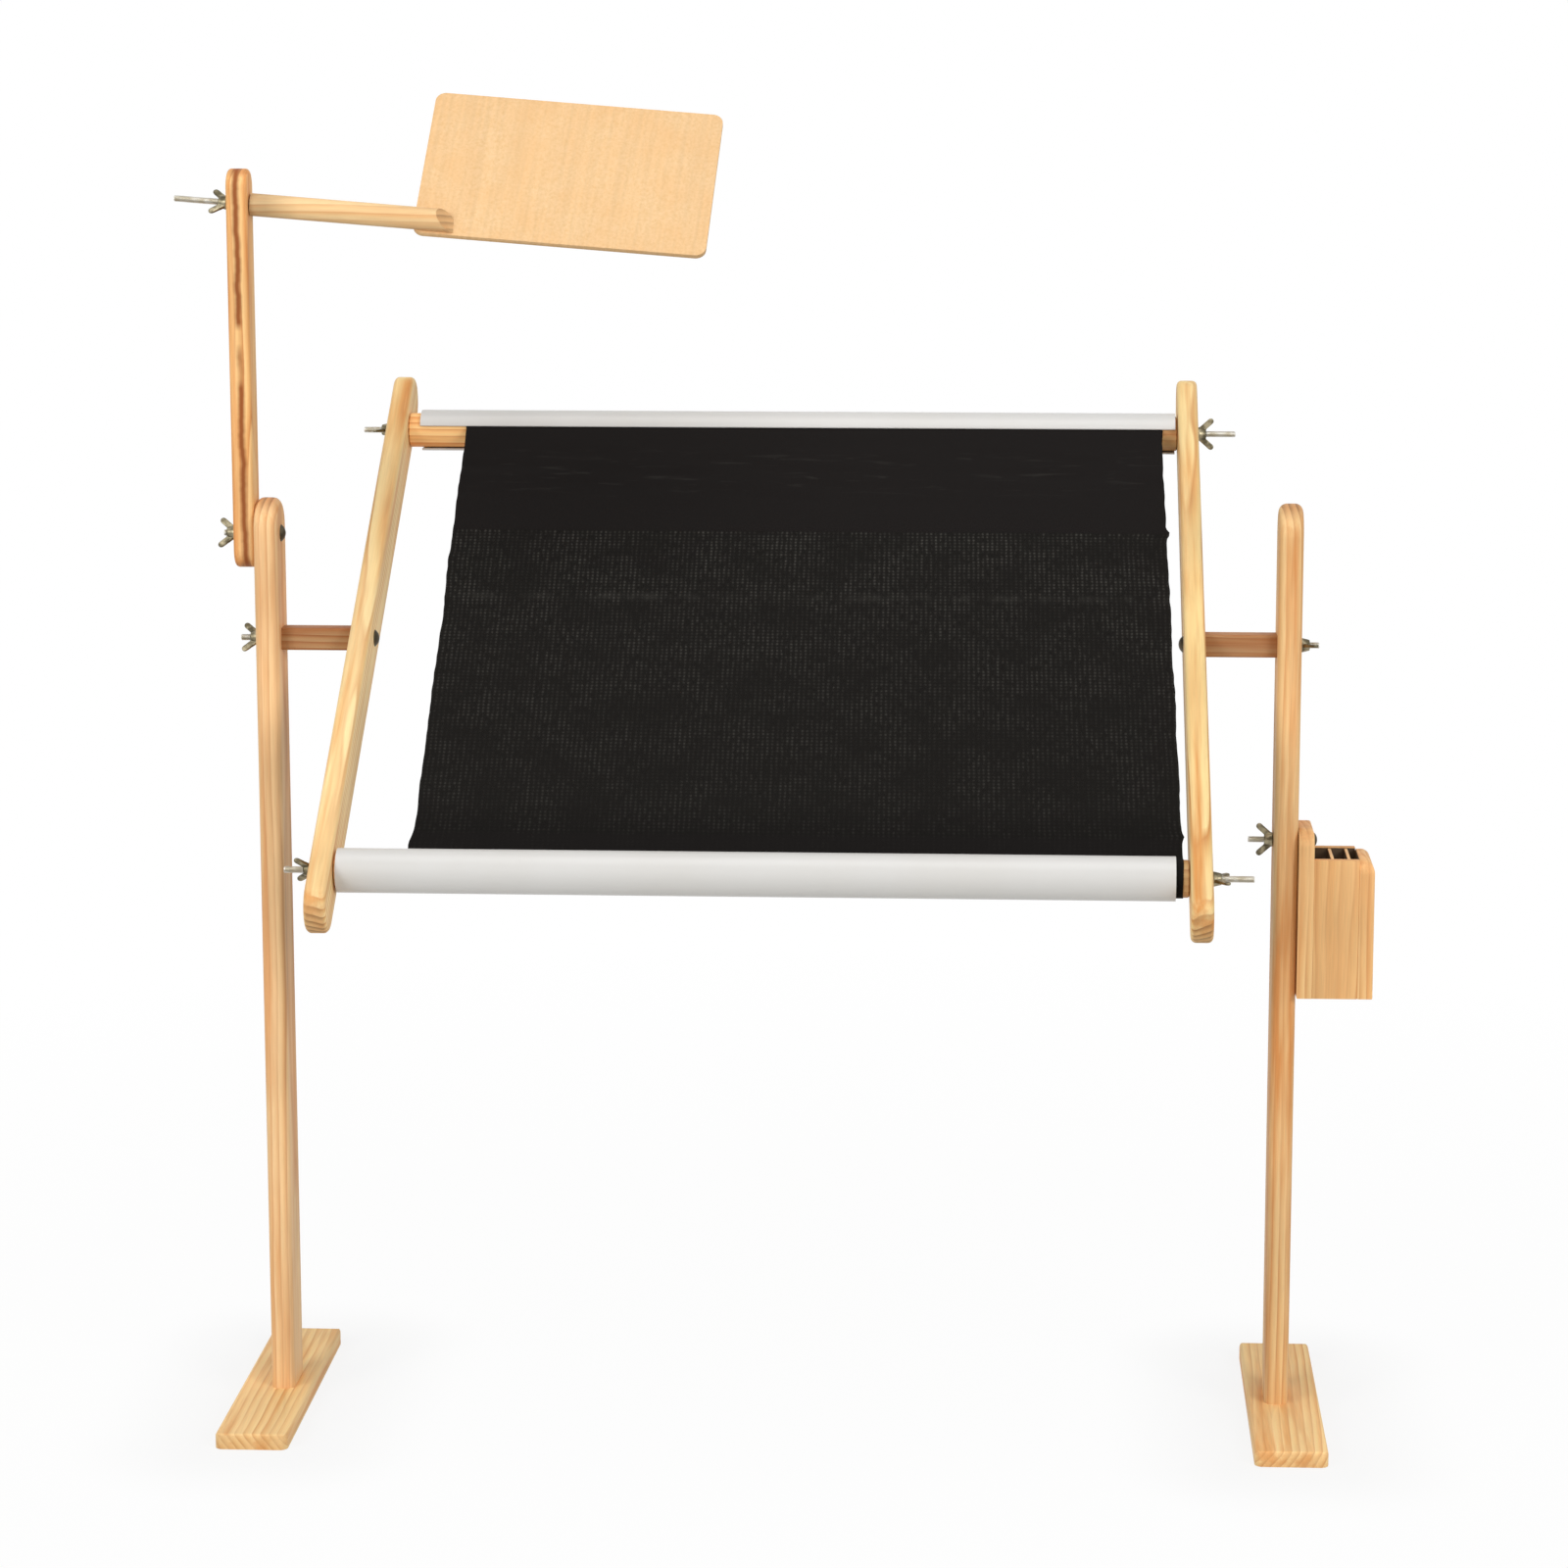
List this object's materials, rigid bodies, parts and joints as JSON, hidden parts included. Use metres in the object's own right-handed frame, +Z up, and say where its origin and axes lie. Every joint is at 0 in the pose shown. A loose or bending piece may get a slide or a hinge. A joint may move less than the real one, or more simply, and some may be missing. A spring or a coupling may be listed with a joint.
{
  "type": "floor-standing embroidery frame",
  "caption": "Tilting scroll frame for embroidery between two footed wooden posts, with clip-held cloth on rollers, a chart board on a swinging arm and a hanging tool box.",
  "frame": {"origin": "on the floor, midway between the two feet, in the vertical plane of the frame's pivot", "axes": "+X to the embroiderer's right along the rollers, +Y away from the embroiderer, +Z up"},
  "size_m": [0.9026, 0.5042, 1.0075],
  "materials": {
    "pine": "satin",
    "board": "matte",
    "zinc_hardware": "satin",
    "white_plastic": "satin",
    "black_cloth": "matte"
  },
  "bodies": {
    "stand": {"left_foot": "pine", "right_foot": "pine", "left_post": "pine", "right_post": "pine", "foot_screws": "zinc_hardware", "left_spacer": "pine", "right_spacer": "pine", "chart_arm_bolt": "zinc_hardware"},
    "frame": {"left_rail": "pine", "right_rail": "pine", "left_pivot_bolt": "zinc_hardware", "right_pivot_bolt": "zinc_hardware", "cloth": "black_cloth"},
    "upper_roller": {"top_roller": "pine", "top_clip": "white_plastic", "top_left_bolt": "zinc_hardware", "top_right_bolt": "zinc_hardware"},
    "lower_roller": {"bottom_roller": "pine", "bottom_clip": "white_plastic", "bottom_left_bolt": "zinc_hardware", "bottom_right_bolt": "zinc_hardware"},
    "arm": {"chart_arm": "pine"},
    "board": {"chart_rod": "pine", "chart_board": "board", "chart_board_screws": "zinc_hardware", "chart_rod_bolt": "zinc_hardware"},
    "tool_box": {"box_inner_side": "pine", "box_outer_side": "pine", "box_front": "pine", "box_back": "pine", "box_bottom": "pine", "box_divider_1": "pine", "box_divider_2": "pine", "box_bolt": "zinc_hardware"},
    "left_pivot_nut_body": {"left_pivot_nut": "zinc_hardware"},
    "right_pivot_nut_body": {"right_pivot_nut": "zinc_hardware"},
    "top_left_nut_body": {"top_left_nut": "zinc_hardware"},
    "top_right_nut_body": {"top_right_nut": "zinc_hardware"},
    "bottom_left_nut_body": {"bottom_left_nut": "zinc_hardware"},
    "bottom_right_nut_body": {"bottom_right_nut": "zinc_hardware"},
    "arm_nut_body": {"chart_arm_nut": "zinc_hardware"},
    "board_rod_nut_body": {"chart_rod_nut": "zinc_hardware"},
    "box_nut_body": {"box_nut": "zinc_hardware"}
  },
  "joints": [
    {"name": "frame_tilt", "type": "hinge", "parent": "stand", "child": "frame", "pos_m": [0, 0, 0.6], "axis": [1, 0, 0], "continuous": true},
    {"name": "upper_roller_turn", "type": "hinge", "parent": "frame", "child": "upper_roller", "pos_m": [0, 0.20311, 0.737], "axis": [1, 0, 0], "range_deg": [-60, 0], "deforming": ["cloth"]},
    {"name": "lower_roller_turn", "type": "hinge", "parent": "frame", "child": "lower_roller", "pos_m": [0, -0.20311, 0.463], "axis": [1, 0, 0], "range_deg": [-60, 0], "deforming": ["cloth"]},
    {"name": "arm_swing", "type": "hinge", "parent": "stand", "child": "arm", "pos_m": [-0.4023, 0, 0.68], "axis": [1, 0, 0], "range_deg": [-30, 30]},
    {"name": "board_tilt", "type": "hinge", "parent": "arm", "child": "board", "pos_m": [-0.4023, 0, 0.928], "axis": [0.9969, 0, -0.0785], "range_deg": [-48, 60]},
    {"name": "box_swing", "type": "hinge", "parent": "stand", "child": "tool_box", "pos_m": [0.394, 0, 0.451], "axis": [1, 0, 0], "range_deg": [-90, 90]},
    {"name": "left_pivot_nut_turn", "type": "hinge", "parent": "frame", "child": "left_pivot_nut_body", "pos_m": [-0.3943, 0, 0.6], "axis": [1, 0, 0], "continuous": true},
    {"name": "right_pivot_nut_turn", "type": "hinge", "parent": "frame", "child": "right_pivot_nut_body", "pos_m": [0.3943, 0, 0.6], "axis": [1, 0, 0], "continuous": true},
    {"name": "top_left_nut_turn", "type": "hinge", "parent": "upper_roller", "child": "top_left_nut_body", "pos_m": [-0.3223, 0.20311, 0.737], "axis": [1, 0, 0], "continuous": true},
    {"name": "top_right_nut_turn", "type": "hinge", "parent": "upper_roller", "child": "top_right_nut_body", "pos_m": [0.3223, 0.20311, 0.737], "axis": [1, 0, 0], "continuous": true},
    {"name": "bottom_left_nut_turn", "type": "hinge", "parent": "lower_roller", "child": "bottom_left_nut_body", "pos_m": [-0.3223, -0.20311, 0.463], "axis": [1, 0, 0], "continuous": true},
    {"name": "bottom_right_nut_turn", "type": "hinge", "parent": "lower_roller", "child": "bottom_right_nut_body", "pos_m": [0.3223, -0.20311, 0.463], "axis": [1, 0, 0], "continuous": true},
    {"name": "arm_nut_turn", "type": "hinge", "parent": "stand", "child": "arm_nut_body", "pos_m": [-0.4106, 0, 0.68], "axis": [1, 0, 0], "continuous": true},
    {"name": "board_rod_nut_turn", "type": "hinge", "parent": "board", "child": "board_rod_nut_body", "pos_m": [-0.4023, 0, 0.928], "axis": [0.9969, 0, -0.0785], "continuous": true},
    {"name": "box_nut_turn", "type": "hinge", "parent": "tool_box", "child": "box_nut_body", "pos_m": [0.3757, 0, 0.451], "axis": [1, 0, 0], "continuous": true}
  ],
  "couplings": [
    {"joint": "lower_roller_turn", "follows": "upper_roller_turn", "ratio": 1}
  ]
}
